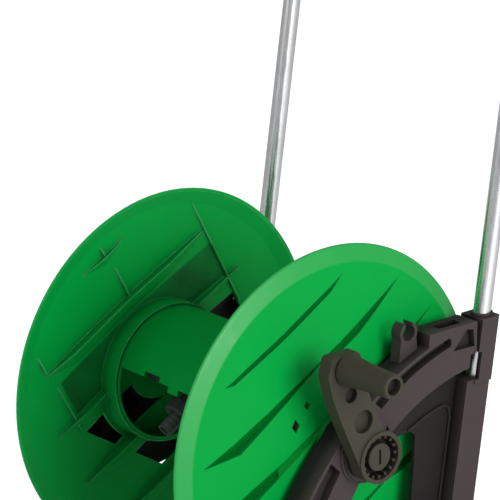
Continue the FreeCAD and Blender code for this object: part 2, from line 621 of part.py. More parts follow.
def wheel():
    """Moulded wheel: rim, ribbed disc spokes, hub."""
    x0, x1 = WHEEL_IN_X, WHEEL_IN_X + WHEEL_WIDTH
    mid = 0.5 * (x0 + x1)
    rim = revolve([(RIM_R, x0 + 3), (RIM_R, x1 - 3), (RIM_R - 4, x1 - 1), (RIM_R - 8, x1 - 2), (RIM_R - 5, mid + 8),
                   (RIM_R - 5, mid - 8), (RIM_R - 8, x0 + 2), (RIM_R - 4, x0 + 1)],
                  (DRUM_Y + WHEEL_Y, WHEEL_R))
    hub = tube(wheel_centre(x0), X_AXIS, 20.0, 9.0, WHEEL_WIDTH)
    web = tube(wheel_centre(mid - 2), X_AXIS, 34.0, 9.0, 4.0)
    spokes = []
    for i in range(SPOKES):
        spoke = box(mid - 11, mid + 11, -4.5, 4.5, 17.0, RIM_R - 3.5)
        spoke = spoke.cut(box(mid - 12, mid - 2, -2.4, 2.4, 30.0, RIM_R - 12))
        spoke = spoke.cut(box(mid + 2, mid + 12, -2.4, 2.4, 30.0, RIM_R - 12))
        spoke.rotate(V(0, 0, 0), X_AXIS, i * 360.0 / SPOKES)
        spoke.translate(wheel_centre(0))
        spokes.append(spoke)
    return join([rim, hub, web] + spokes).cut(cyl(wheel_centre(x0 - 1), X_AXIS, 9.0, WHEEL_WIDTH + 2))


def tyre():
    """Solid rubber tyre with cross grooves in the tread."""
    x0, x1 = WHEEL_IN_X, WHEEL_IN_X + WHEEL_WIDTH
    ring = revolve([(RIM_R + 0.05, x0 + 1.5), (WHEEL_R - 5, x0), (WHEEL_R - 1.2, x0 + 4), (WHEEL_R, x0 + 10),
                    (WHEEL_R, x1 - 10), (WHEEL_R - 1.2, x1 - 4), (WHEEL_R - 5, x1), (RIM_R + 0.05, x1 - 1.5)],
                   (DRUM_Y + WHEEL_Y, WHEEL_R))
    grooves = []
    for i in range(36):
        for side, shift in ((0, 0.0), (1, 5.0)):
            low = x0 - 1 if side == 0 else x1 - 13
            groove = box(low, low + 14, -1.6, 1.6, WHEEL_R - 2.6, WHEEL_R + 2)
            groove.rotate(V(0, 0, 0), X_AXIS, i * 10.0 + shift + 2.5)
            groove.translate(wheel_centre(0))
            grooves.append(groove)
    return ring.cut(Part.makeCompound(grooves))


def wheel_bush():
    body = tube(wheel_centre(WHEEL_IN_X + 0.5), X_AXIS, 9.0, AXLE_R + RUNNING_CLEARANCE, WHEEL_WIDTH - 1.0)
    return body


def hubcap():
    """Domed cap that hides the end of the axle."""
    x = WHEEL_IN_X + WHEEL_WIDTH + GAP
    profile = [(21.0, x), (21.0, x + 5), (18.0, x + 8.6), (10.0, x + 10), (0.0, x + 10.4), (0.0, x + 7.4),
               (12.0, x + 7.0), (15.0, x + 5.0), (16.0, x)]
    return revolve(profile, (DRUM_Y + WHEEL_Y, WHEEL_R))


def wheel_washer():
    start = FRAME_OUT_X + 2.5 + GAP
    return tube(wheel_centre(start), X_AXIS, 12.0, AXLE_R + 0.1, WHEEL_IN_X - start - GAP)


# ---------------------------------------------------------------- handle
HANDLE_R = 14.0
BAR_Z = HANDLE_TOP_Z - DRUM_Z - 20.0
CORNER_R = 46.0


def handle_tube():
    top = BAR_Z - 62.0
    outer = tube_line(TUBE_R, TUBE_LOW_Z, top)
    inner = tube_line(TUBE_R - TUBE_WALL, TUBE_LOW_Z - 5, top + 5)
    body = outer.cut(inner)
    for z in TUBE_SCREW_Z:
        body = body.cut(cyl(rel(TUBE_X - 30, tube_y(z), z), X_AXIS, 2.3, 30))
    return body


def handle_path():
    """Centre line of the handlebar: up one tube, round, across and down."""
    drop = 84.0
    low = rel(TUBE_X, tube_y(BAR_Z - drop), BAR_Z - drop)
    corner = rel(TUBE_X, tube_y(BAR_Z), BAR_Z)
    before = corner - TUBE_DIR * CORNER_R
    after = corner - X_AXIS * CORNER_R
    centre = before - X_AXIS * CORNER_R
    middle = centre + (TUBE_DIR + X_AXIS).normalize() * CORNER_R
    flip = lambda p: V(-p.x, p.y, p.z)
    return [Part.LineSegment(low, before).toShape(), Part.Arc(before, middle, after).toShape(),
            Part.LineSegment(after, flip(after)).toShape(),
            Part.Arc(flip(after), flip(middle), flip(before)).toShape(),
            Part.LineSegment(flip(before), flip(low)).toShape()]


def handlebar():
    """Moulded U-shaped bar with a socket at each end."""
    edges = handle_path()
    start = edges[0].Vertexes[0].Point
    ring = Part.Wire(Part.makeCircle(HANDLE_R, start, TUBE_DIR))
    bar = Part.Wire(edges).makePipeShell([ring], True, False)
    for sign in (1, -1):
        socket = tube_line(TUBE_R + 0.15, BAR_Z - 90.0, BAR_Z - 62.0)
        skirt = tube_line(HANDLE_R + 1.6, BAR_Z - 84.0, BAR_Z - 70.0)
        socket = socket if sign > 0 else mirror(socket)
        skirt = skirt if sign > 0 else mirror(skirt)
        bar = bar.fuse(skirt).cut(socket)
    return bar


def handle_grip():
    """Soft sleeve over the middle of the bar, with finger rings."""
    y, z = DRUM_Y + tube_y(BAR_Z), DRUM_Z + BAR_Z
    half = 62.0
    profile = [(HANDLE_R + 0.02, -half), (HANDLE_R + 2.4, -half), (HANDLE_R + 3.0, -half + 2)]
    for i in range(12):
        x = -half + 8 + i * 2 * (half - 8) / 12
        profile += [(HANDLE_R + 3.0, x), (HANDLE_R + 2.2, x + 1.2), (HANDLE_R + 2.2, x + 3.0), (HANDLE_R + 3.0, x + 4.2)]
    profile += [(HANDLE_R + 3.0, half - 2), (HANDLE_R + 2.4, half), (HANDLE_R + 0.02, half)]
    return revolve(profile, (y, z))


def tube_collar():
    """Trim ring where the tube enters the post."""
    ring = tube_line(TUBE_R + 1.8, POST_TOP_Z - 4.0, POST_TOP_Z + 9.0).cut(tube_line(TUBE_R + 0.1, 90.0, 130.0))
    low, high = DRUM_Z + POST_TOP_Z + GAP, DRUM_Z + POST_TOP_Z + 3.0
    return ring.common(box(100, 250, 0, 400, low, high))


def tube_screws():
    """Screws through the inner side of each post into the tube."""
    screws = []
    for z in TUBE_SCREW_Z:
        face = FRAME_IN_X - (1.5 if z > SLEEVE_LOW_Z else 0.0)
        screw = pan_screw(rel(face, tube_y(z), z), X_AXIS, 2.0, TUBE_X - TUBE_R + 5.0 - face)
        screws += [screw, mirror(screw)]
    return Part.makeCompound(screws)


def foot_screws():
    screws = []
    for y, z in foot_screw_places():
        screw = pan_screw(rel(FRAME_OUT_X, y, z), V(-1, 0, 0), 2.2, 20.0)
        screws += [screw, mirror(screw)]
    return Part.makeCompound(screws)


def hose_end_ring():
    """Split ring on top of the arch that holds the free hose end."""
    y, z = 70.0, 108.5
    x0, width = FRAME_OUT_X - 25, 14.0
    ring = tube(rel(x0, y, z), X_AXIS, 12.0, 8.5, width)
    mouth = box(x0 - 5, x0 + width + 5, DRUM_Y + y - 5, DRUM_Y + y + 5, DRUM_Z + z, DRUM_Z + z + 20)
    foot = polygon([(59.5, 103), (80.5, 103), (83, 82), (56, 68)], x0, x0 + width)
    foot = foot.cut(disc(OUTER_ARC, GAP, x0 - 5, x0 + 30)).cut(cyl(rel(x0 - 5, y, z), X_AXIS, 8.5, 40))
    return ring.cut(mouth).fuse(foot)


# ---------------------------------------------------------------- bearings and crank
def hub_bush():
    """Flanged bearing bush in the frame's hub boss."""
    sleeve = tube(rel(FRAME_IN_X - 2, 0, 0), X_AXIS, HUB_R + 3.9, HUB_R + HUB_CLEARANCE, 34.3)
    lip = tube(rel(FRAME_OUT_X + 2.05, 0, 0), X_AXIS, 31.0, HUB_R + HUB_CLEARANCE, 1.5)
    return sleeve.fuse(lip)


def crank_outline():
    """Arm plate: from the hub ring it widens to a square top behind the grip."""
    return rounded_polygon([(-24, -12), (8, 24), (-2, 42), (-13, 64), (-26, 100), (-29, 121), (-66, 121), (-71.5, 102),
                            (-65, 78), (-53, 49)], 5.0, CRANK_IN_X, CRANK_OUT_X)


RING_R = 28.0
RING_BORE = 23.6


def crank_arm():
    ring = cyl(rel(CRANK_IN_X, 0, 0), X_AXIS, RING_R, CRANK_OUT_X - CRANK_IN_X + 2)
    body = join([crank_outline(), ring])
    body = body.cut(cyl(rel(CRANK_IN_X - 1, 0, 0), X_AXIS, RING_BORE, 30))
    teeth = []
    for i in range(16):
        tooth = box(CRANK_IN_X + 0.5, CRANK_OUT_X - 1, -1.4, 1.4, 19.9, RING_BORE + 1)
        tooth.rotate(V(0, 0, 0), X_AXIS, i * 22.5)
        tooth.translate(rel(0, 0, 0))
        teeth.append(tooth)
    body = body.fuse(teeth)
    cuts = [cyl(rel(CRANK_OUT_X - 7, -23.5, 44.5), X_AXIS, 12.6, 20),
            cyl(rel(CRANK_OUT_X - 7, -41, 77), X_AXIS, 8.2, 20),
            cyl(rel(CRANK_IN_X - 1, GRIP_Y, GRIP_Z), X_AXIS, PIN_R + 0.02, 40)]
    for pocket in ([(-48, 50), (-14, 54), (-26, 82), (-61, 80)], [(-65, 91), (-29, 91), (-34, 115), (-62, 115)]):
        cuts.append(polygon(pocket, CRANK_IN_X - 1, CRANK_IN_X + 6))
    for shape in cuts:
        body = body.cut(shape)
    boss = tube(rel(CRANK_IN_X, GRIP_Y, GRIP_Z), X_AXIS, 11.0, PIN_R + 0.02, 10.0)
    return body.fuse(boss)


def crank_cap():
    """Slotted plug that locks the arm on the hub."""
    cap = cyl(rel(202.0 + GAP, 0, 0), X_AXIS, 15.0, 9.5)
    cap = rounded(cap, 1.5, lambda e: e.Closed and e.Vertexes[0].X > 205)
    slot = box(209.0, 215.0, DRUM_Y - 1.6, DRUM_Y + 1.6, DRUM_Z - 8, DRUM_Z + 8)
    return cap.cut(slot).cut(cyl(rel(200, 0, 0), X_AXIS, 3.1, 5.0))


def crank_screw():
    """Steel screw from the cap into the hub."""
    return cyl(rel(180.0, 0, 0), X_AXIS, 2.9, 24.7)


def grip_pin():
    """Steel pin riveted in the arm; the grip turns on it."""
    start = CRANK_IN_X + 1.0
    end = CRANK_OUT_X + GRIP_LENGTH - 9.0
    pin = cyl(rel(start, GRIP_Y, GRIP_Z), X_AXIS, PIN_R, end - start)
    head = cyl(rel(end, GRIP_Y, GRIP_Z), X_AXIS, 7.5, 2.5)
    dome = cyl(rel(end + 2.5, GRIP_Y, GRIP_Z), X_AXIS, 5.5, 1.2)
    return join([pin, head, dome])


def crank_grip():
    """Tapered grip with a recessed end."""
    x0 = CRANK_OUT_X + 0.6
    x1 = x0 + GRIP_LENGTH
    bore_r = PIN_R + RUNNING_CLEARANCE
    recess_x = CRANK_OUT_X + GRIP_LENGTH - 9.0 - GAP
    profile = [(bore_r, x0), (GRIP_BASE_R - 1.5, x0), (GRIP_BASE_R, x0 + 1.5), (GRIP_BASE_R - 0.6, x0 + 24),
               (GRIP_TIP_R + 1.2, x0 + 46), (GRIP_TIP_R, x1 - 4), (GRIP_TIP_R - 1.2, x1 - 1), (GRIP_TIP_R - 3, x1),
               (9.0, x1), (8.2, x1 - 2), (8.2, recess_x), (bore_r, recess_x)]
    return revolve(profile, (DRUM_Y + GRIP_Y, DRUM_Z + GRIP_Z))


# ---------------------------------------------------------------- water inlet
def inlet_elbow():
    """Elbow that plugs into the turning pipe; its branch hangs down."""
    tip = -(FRAME_OUT_X + 10.0) + 28.0
    elbow_x = -(FRAME_OUT_X + 10.0) - 18.0
    spigot = cyl(rel(elbow_x, 0, 0), X_AXIS, INLET_SPIGOT_R, tip - elbow_x)
    collar = cyl(rel(-(FRAME_OUT_X + 10.0) - 3.0 - GAP, 0, 0), X_AXIS, 15.0, 3.0)
    body = cyl(rel(elbow_x - 14, 0, 0), X_AXIS, 13.5, 29.0 - GAP)
    branch = cyl(rel(elbow_x, 0, 0), V(0, 0, -1), 12.0, 36.0)
    shape = join([spigot, collar, body, branch])
    shape = shape.cut(cyl(rel(elbow_x, 0, 0), X_AXIS, 6.0, 60)).cut(cyl(rel(elbow_x, 0, 0), V(0, 0, -1), 6.0, 50))
    for x in O_RING_X:
        shape = shape.cut(tube(rel(x - 1.2, 0, 0), X_AXIS, INLET_SPIGOT_R + 1, INLET_SPIGOT_R - 2.2, 2.4))
    return shape


O_RING_X = (-176.0, -184.0)


def inlet_rings():
    rings = [Part.makeTorus(INLET_SPIGOT_R - 1.1, 1.05, rel(x, 0, 0), X_AXIS) for x in O_RING_X]
    return Part.makeCompound(rings)


def inlet_thread():
    """Tap connector on the elbow: hexagon and threaded tail, smooth at the thread's outside size."""
    elbow_x = -(FRAME_OUT_X + 10.0) - 18.0
    top = -36.0 - GAP
    corners = [V(15.5 * math.cos(math.radians(60 * i)), 15.5 * math.sin(math.radians(60 * i)), 0) for i in range(7)]
    hexagon = Part.Face(Part.makePolygon(corners)).extrude(V(0, 0, -8))
    hexagon.translate(rel(elbow_x, 0, top))
    tail = cyl(rel(elbow_x, 0, top - 8), V(0, 0, -1), THREAD_R, 15.0)
    return join([hexagon, tail]).cut(cyl(rel(elbow_x, 0, top + 1), V(0, 0, -1), 6.0, 40))


def inlet_clip():
    """Cap nut on the turning pipe's end that keeps the elbow in."""
    x = -(FRAME_OUT_X + 10.0)
    ring = tube(rel(x, 0, 0), X_AXIS, 19.0, PIPE_R, 6.0)
    cut = [cyl(rel(x - 1, 20.5 * math.cos(math.radians(a)), 20.5 * math.sin(math.radians(a))), X_AXIS, 2.6, 9)
           for a in range(0, 360, 30)]
    return ring.cut(Part.makeCompound(cut))


def flange_left():
    """Inlet side flange: the same dish with raised backs, windows and a bore for the water pipe."""
    ridges = []
    for d in LEFT_RIDGES:
        spread = LEFT_LENS if d > 0.7 else LEFT_SPREAD
        reach = math.sqrt(0.83 - d * d) / 0.91
        ridges.append(inner_ridge([(s * reach * FLANGE_R, d * FLANGE_R, w * FLANGE_R) for s, w in spread]))
    body = mirror(pan(ridges + cross_ribs(LEFT_RIBS), flange_windows()))
    bore = cyl(rel(-230, 0, 0), X_AXIS, PIPE_R, 100)
    end_cut = cyl(rel(-230, 0, 0), X_AXIS, 60, 230 - 191.5)
    return body.cut(bore).cut(end_cut)


# ---------------------------------------------------------------- write every piece
def main():
    save("flange_right", flange_right())
    save("flange_left", flange_left())
    save("core_shell", core_shell())
    save("water_pipe", water_pipe())
    save("drum_shaft", drum_shaft())
    save("outlet_nut", outlet_nut())
    save("outlet_tail", outlet_tail())
    save("pipe_nut", inlet_clip())
    save("crank_arm", crank_arm())
    save("crank_cap", crank_cap())
    save("crank_screw", crank_screw())
    save("grip_pin", grip_pin())
    save("crank_grip", crank_grip())
    save("front_foot_bar", foot_bar())
    save("wheel_axle", axle())
    axle_tube = tube(V(-FRAME_IN_X - 7, DRUM_Y + WHEEL_Y, WHEEL_R), X_AXIS, AXLE_TUBE_R, AXLE_TUBE_R - 1.5,
                     2 * FRAME_IN_X + 14)
    save("axle_tube", axle_tube)
    save("handlebar", handlebar())
    save("handle_grip", handle_grip())
    save("tube_screws", tube_screws())
    save("foot_screws", foot_screws())
    save("hose_end_ring", hose_end_ring())
    save("inlet_elbow", inlet_elbow())
    save("inlet_thread", inlet_thread())
    save("inlet_o_rings", inlet_rings())
    save("side_frame_right", side_frame([]))
    save("side_frame_left", mirror(side_frame([hub_plate()])))
    pairs = {"foot_pad": foot_pad(), "hub_bush": hub_bush(),
             "handle_tube": handle_tube(), "tube_collar": tube_collar(), "axle_cap": axle_cap(),
             "wheel_washer": wheel_washer(), "wheel": wheel(), "tyre": tyre(), "wheel_bush": wheel_bush(),
             "hubcap": hubcap()}
    for name, shape in pairs.items():
        save(name + "_right", shape)
        save(name + "_left", mirror(shape))


main()
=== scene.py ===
# %% [markdown]
# # A garden hose reel cart
# The cart is a moulded drum that a side crank turns between two arched frames, with a tube handle
# and two wheels.  Its measured shapes come ready made, as the frame that this lesson dresses.  We
# give each finish its grain, and swap the pieces where a turned or moulded surface should be soft.

# %% Load the measured cart
import json
import math

import bmesh
import bpy
import numpy as np
from mathutils import Matrix, Vector


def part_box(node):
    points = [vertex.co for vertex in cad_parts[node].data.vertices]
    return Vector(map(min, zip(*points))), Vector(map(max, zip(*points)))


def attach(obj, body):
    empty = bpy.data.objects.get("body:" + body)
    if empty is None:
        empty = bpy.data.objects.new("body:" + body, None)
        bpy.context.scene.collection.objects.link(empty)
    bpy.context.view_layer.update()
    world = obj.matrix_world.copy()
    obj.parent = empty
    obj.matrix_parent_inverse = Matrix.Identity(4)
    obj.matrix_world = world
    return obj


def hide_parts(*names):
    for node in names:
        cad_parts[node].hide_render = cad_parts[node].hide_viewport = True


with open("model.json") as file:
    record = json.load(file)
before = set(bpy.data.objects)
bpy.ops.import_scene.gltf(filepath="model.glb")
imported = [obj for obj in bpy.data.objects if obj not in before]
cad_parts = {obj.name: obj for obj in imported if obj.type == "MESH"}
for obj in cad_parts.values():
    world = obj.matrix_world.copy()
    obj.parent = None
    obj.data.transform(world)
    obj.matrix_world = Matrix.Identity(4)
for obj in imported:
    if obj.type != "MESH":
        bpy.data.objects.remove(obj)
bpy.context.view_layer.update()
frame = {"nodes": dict(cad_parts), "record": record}  # frame["bodies"], ["nodes"], ["joints"], ["record"]

# %% [markdown]
# Every joint turns about the X axis, so the place of its axis is all that a turned piece needs.
# Reading it from the record keeps each new surface on the same centre as the part it dresses.

# %% Places of the axes
axis = {joint["name"]: Vector(joint["pos_m"]) for joint in frame["record"]["behaviour"]["joints"]}
drum = axis["drum_spin"]
MM = 0.001
print("drum axis at", tuple(round(value, 4) for value in drum))

# %% [markdown]
# Colours are written as the sRGB hex values a paint chart would give.  Shaders work in linear
# light, so one function turns a hex value into linear red, green and blue.

# %% Colour helper
def linear(text):
    """sRGB to linear: v/12.92 below 0.04045, else ((v + 0.055)/1.055) to the power 2.4."""
    values = [int(text[i:i + 2], 16) / 255 for i in (1, 3, 5)]
    return tuple(v / 12.92 if v <= 0.04045 else ((v + 0.055) / 1.055) ** 2.4 for v in values) + (1.0,)


print("drum green is", [round(v, 3) for v in linear("#00a045")[:3]])

# %% [markdown]
# A material is a small network of nodes.  This helper adds one node, sets its options, and fills
# its inputs: a plain value is typed in, and another node's output is linked.

# %% Node helper
def add(tree, kind, inputs=None, **settings):
    """Adds a node with its settings, values and links, and returns it."""
    node = tree.nodes.new("ShaderNode" + kind)
    for name, value in settings.items():
        setattr(node, name, value)
    for name, value in (inputs or {}).items():
        if isinstance(value, bpy.types.NodeSocket):
            tree.links.new(value, node.inputs[name])
        else:
            node.inputs[name].default_value = value
    return node


def per(mm):
    """Noise scale, per metre, whose features are about this many millimetres across."""
    return 1.0 / (mm * MM)


print("a 2 mm grain has scale", per(2.0))

# %% [markdown]
# Moulded polypropylene is coloured right through.  The eye reads it by four things: slow flow
# marks in the colour, a fine spark-eroded grain from the mould, a soft gloss, and edges that are
# rounded and paler, partly rub wear and partly a painted highlight.  The bevel node finds those edges
# from the shape itself, so no edge has to be drawn in.  The real grain is about 0.3 mm, which wouldn't
# show, so it is drawn coarser.  Inside corners get painted shade: the ambient occlusion node finds
# them the same way and darkens the colour there.

# %% Moulded plastic
FLOW_MARK, WORN_PATCH, HAND_MARK = 70, 14, 28  # mm across
PLASTIC_IOR = 1.49


def moulded(name, body, flow, rubbed_and_highlit, rough=0.42, grain=2.2, relief=0.05, edge=1.0, gloss=0.5, worn=0.55,
             shade=0.55, reach=14.0, deep=None):
    """A moulded plastic: body and flow are its two tones; the third colour is the tone of its paler edges, partly
    rub wear and partly painted highlight.

    shade is how dark the painted shade in a closed corner gets, and reach how far the corner is felt, in
    millimetres.
    deep, where given, is (inner x, outer x, share of light left at the inner x), for painted shade on a recessed
    side.
    """
    mat = bpy.data.materials.new(name)
    mat.use_nodes = True
    tree = mat.node_tree
    shader = tree.nodes["Principled BSDF"]
    place = add(tree, "TexCoord").outputs["Object"]
    marks = add(tree, "TexNoise", {"Vector": place, "Scale": per(FLOW_MARK), "Detail": 3.0, "Distortion": 0.6})
    tone = add(tree, "Mix", {0: marks.outputs["Fac"], 6: linear(body), 7: linear(flow)}, data_type="RGBA")
    corner = add(tree, "Bevel", {"Radius": edge * MM}, samples=4)
    flat = add(tree, "NewGeometry")
    agreement = add(tree, "VectorMath", {0: corner.outputs["Normal"], 1: flat.outputs["Normal"]},
                    operation="DOT_PRODUCT")
    # Paler edges where the bevel normal turns away from the face: partly rub wear, partly painted highlight.
    patchy = add(tree, "TexNoise", {"Vector": place, "Scale": per(WORN_PATCH), "Detail": 4.0})
    found = add(tree, "MapRange", {0: agreement.outputs["Value"], 1: 0.995, 2: 0.80, 3: 0.0, 4: worn})
    wear_and_highlight = add(tree, "Math", {0: found.outputs[0], 1: patchy.outputs["Fac"]}, operation="MULTIPLY")
    rubbed_and_highlit_tone = add(tree, "Mix", {0: wear_and_highlight.outputs[0], 6: tone.outputs[2], 7: linear(rubbed_and_highlit)}, data_type="RGBA")
    # Painted shade: ambient occlusion darkens the colour in closed corners.
    open_sky = add(tree, "AmbientOcclusion", {"Distance": reach * MM}, samples=4)
    level = add(tree, "MapRange", {0: open_sky.outputs["AO"], 1: 0.25, 2: 0.85, 3: shade, 4: 1.0})
    # Painted shade on a recessed side: darker towards the inner x.
    if deep:
        inner, outer, left = deep
        side = add(tree, "Math", {0: add(tree, "SeparateXYZ", {0: place}).outputs[0]}, operation="ABSOLUTE")
        depth = add(tree, "MapRange", {0: side.outputs[0], 1: inner * MM, 2: outer * MM, 3: left, 4: 1.0})
        level = add(tree, "Math", {0: level.outputs[0], 1: depth.outputs[0]}, operation="MULTIPLY")
    colour = add(tree, "VectorMath", {0: rubbed_and_highlit_tone.outputs[2], 1: level.outputs[0]}, operation="MULTIPLY")
    pits = add(tree, "TexNoise", {"Vector": place, "Scale": per(grain), "Detail": 2.0, "Roughness": 0.6})
    bump = add(tree, "Bump", {"Height": pits.outputs["Fac"], "Normal": corner.outputs["Normal"],
                              "Strength": 0.35, "Distance": relief * MM})
    hands = add(tree, "TexNoise", {"Vector": place, "Scale": per(HAND_MARK), "Detail": 5.0, "Distortion": 0.8})
    sheen = add(tree, "MapRange", {0: hands.outputs["Fac"], 1: 0.3, 2: 0.7, 3: rough - 0.07, 4: rough + 0.09})
    tree.links.new(colour.outputs[0], shader.inputs["Base Color"])
    tree.links.new(sheen.outputs[0], shader.inputs["Roughness"])
    tree.links.new(bump.outputs["Normal"], shader.inputs["Normal"])
    shader.inputs["IOR"].default_value = PLASTIC_IOR
    shader.inputs["Specular IOR Level"].default_value = gloss
    return mat


# Leaf green: clean saturated colour, a low sheen and faint paler rims, partly rub wear and partly painted highlight.
GREEN_TONES = ("#00963a", "#009d40", "#3cc878")
GREEN_SKIN = {"rough": 0.45, "grain": 3.0, "relief": 0.03, "gloss": 0.08}
GREEN_EDGE = {"edge": 1.4, "worn": 0.6}
green = moulded("moulded polypropylene green", *GREEN_TONES, shade=0.6, **GREEN_SKIN, **GREEN_EDGE)
# The core is the same green; its closed inside sees almost no sky, so its painted shade is dark and reaches far.
core_green = moulded("moulded polypropylene core", *GREEN_TONES, shade=0.16, reach=70.0, **GREEN_SKIN,
                     **GREEN_EDGE)
# Charcoal with a warm cast and a matt spark-eroded grain that hides marks.
charcoal = moulded("textured polypropylene charcoal", "#3a3233", "#413839", "#7d7470", rough=0.6,
                   grain=2.2, relief=0.08, edge=0.9, gloss=0.2, worn=0.7, shade=0.5)
# The side frames are the same plastic.  Their recesses face outwards, and painted shade deepens the
# colour from the outer faces (x = 187 mm) down to the sunk panels (x = 171 mm).
frame_charcoal = moulded("textured polypropylene side frame", "#3e3536", "#453b3c", "#857c78", rough=0.6,
                         grain=2.2, relief=0.08, edge=0.9, gloss=0.2, worn=0.75, shade=0.45,
                         deep=(171.0, 187.0, 0.28))
# The crank is the same plastic; its slightly greener tone is a painted reflection of the green drum beside it.
crank_black = moulded("textured polypropylene crank", "#39372d", "#3e3b31", "#767161", rough=0.55,
                      grain=2.0, relief=0.07, edge=1.0, gloss=0.22, worn=0.7, shade=0.5)
# Glass-filled nylon for the water way: darker, with visible flow marks.
nylon_grey = moulded("glass filled nylon grey", "#3d423f", "#4a504c", "#7c827d", rough=0.48, grain=1.6,
                     relief=0.06, edge=0.7)
# Acetal for the bushes: smooth, dense and nearly black.
acetal = moulded("black acetal", "#2a2a29", "#313130", "#5a5a57", rough=0.36, grain=2.5, relief=0.02, edge=0.5)
# Thermoplastic rubber for grip and pads: very matt, dusty on its edges.
soft_rubber = moulded("soft touch rubber", "#2d2b2b", "#353232", "#575250", rough=0.78, grain=1.4,
                      relief=0.09, edge=0.8, gloss=0.25)
print("moulded finishes:", [m.name for m in (green, core_green, charcoal, frame_charcoal, crank_black, nylon_grey,
                                             acetal, soft_rubber)])

# %% [markdown]
# Both flanges are the same green, with painted light and shade that their shape puts there.  The sloping
# shoulder at the rim has a higher gloss, as if polished by hands and hose, and a faint painted highlight
# makes it paler.  The floor of each pressed channel lies below the cone of the outer face and gets
# painted shade.  Height below the cone is x_cone(r) - |x|, with x_cone falling evenly from the hub to
# the shoulder, and r the distance from the axis.  The hub reaches through the frame into the crank's
# ring, and its end there gets painted shade, nearly black.

# %% Flange tones
HUB_R, HUB_X, SHOULDER_R, SHOULDER_X = 58.0, 151.5, 187.0, 139.6


def flange_tones(mat, channel_shade):
    """Mixes a painted highlight into the rim's shoulder and painted shade into the channels and onto the hub's end,
    between base colour and shader.
    """
    tree = mat.node_tree
    shader = tree.nodes["Principled BSDF"]
    before = shader.inputs["Base Color"].links[0].from_socket
    place = add(tree, "TexCoord").outputs["Object"]
    offset = add(tree, "VectorMath", {0: place, 1: drum}, operation="SUBTRACT")
    apart = add(tree, "SeparateXYZ", {0: offset.outputs[0]})
    side = add(tree, "Math", {0: apart.outputs[0]}, operation="ABSOLUTE").outputs[0]
    radial = add(tree, "VectorMath", {0: offset.outputs[0], 1: (0.0, 1.0, 1.0)}, operation="MULTIPLY")
    radius = add(tree, "VectorMath", {0: radial.outputs[0]}, operation="LENGTH").outputs["Value"]
    cone = add(tree, "MapRange", {0: radius, 1: HUB_R * MM, 2: SHOULDER_R * MM, 3: HUB_X * MM, 4: SHOULDER_X * MM})
    below = add(tree, "Math", {0: cone.outputs[0], 1: side}, operation="SUBTRACT").outputs[0]
    # Painted shade on the channel floors, deeper than the cone of the face.
    sunk = add(tree, "MapRange", {0: below, 1: 0.3 * MM, 2: 1.5 * MM, 3: 0.0, 4: 1.0}).outputs[0]
    inside = add(tree, "Math", {0: radius, 1: SHOULDER_R * MM}, operation="LESS_THAN").outputs[0]
    normal = add(tree, "SeparateXYZ", {0: add(tree, "NewGeometry").outputs["Normal"]}).outputs[0]
    outward = add(tree, "Math", {0: normal, 1: 0.05}, operation="GREATER_THAN").outputs[0]
    channel_shade_share = add(tree, "Math", {0: sunk, 1: inside}, operation="MULTIPLY").outputs[0]
    channel_shade_share = add(tree, "Math", {0: channel_shade_share, 1: outward}, operation="MULTIPLY").outputs[0]
    dark = add(tree, "Mix", {0: channel_shade_share, 6: before, 7: linear(channel_shade)}, data_type="RGBA").outputs[2]
    # Faint painted highlight on the rim's shoulder; its higher gloss below is a real finish.
    rim = add(tree, "MapRange", {0: radius, 1: (SHOULDER_R - 0.5) * MM, 2: (SHOULDER_R + 1.5) * MM, 3: 0.0, 4: 1.0})
    share = add(tree, "Math", {0: rim.outputs[0], 1: 0.02}, operation="MULTIPLY").outputs[0]
    rim_highlight = add(tree, "Mix", {0: share, 6: dark, 7: linear("#8fe0b4")}, data_type="RGBA").outputs[2]
    # Painted shade on the hub's end inside the crank's ring, nearly black.
    hub_shade = add(tree, "MapRange", {0: side, 1: 160 * MM, 2: 162 * MM, 3: 0.0, 4: 1.0}).outputs[0]
    hub = add(tree, "Mix", {0: hub_shade, 6: rim_highlight, 7: linear("#23231f")}, data_type="RGBA").outputs[2]
    shine = add(tree, "MapRange", {0: rim.outputs[0], 1: 0.0, 2: 1.0, 3: 0.08, 4: 0.5}).outputs[0]
    tree.links.new(hub, shader.inputs["Base Color"])
    tree.links.new(shine, shader.inputs["Specular IOR Level"])
    return mat


def flange_finish(name, channel_shade):
    return flange_tones(moulded(name, *GREEN_TONES, shade=0.6, **GREEN_SKIN, **GREEN_EDGE), channel_shade)


# The second colour is the painted shade of the channel floors.
crank_side_green = flange_finish("moulded polypropylene crank side flange", "#006d1c")
print("flange finish:", crank_side_green.name)

# %% [markdown]
# On the inlet side flange one row of panels between the ridges gets painted shade, a darker, duller
# green than the rest.  It is painted on the inner face only, in place of a change of thickness.  The row
# is a band of d = z cos 29 - y sin 29, with s = y cos 29 + z sin 29 along it, and each end of a band is a
# straight ramp.  The ridges' crests are paler, partly rub wear and partly painted highlight where they
# catch the light.

# %% Inlet side flange
FLANGE_R = 205.0
SLANT = math.radians(29.0)
ROW_D, ROW_S = (0.165, 0.385), (-0.55, 0.60)  # shares of FLANGE_R
CLOUD = 45  # mm across


def band(tree, value, low, high, ramp=2.5):
    """1 between low and high (in mm), falling to 0 over ramp on both sides."""
    rise = add(tree, "MapRange", {0: value, 1: (low - ramp) * MM, 2: low * MM, 3: 0.0, 4: 1.0}).outputs[0]
    fall = add(tree, "MapRange", {0: value, 1: high * MM, 2: (high + ramp) * MM, 3: 1.0, 4: 0.0}).outputs[0]
    return add(tree, "Math", {0: rise, 1: fall}, operation="MULTIPLY").outputs[0]


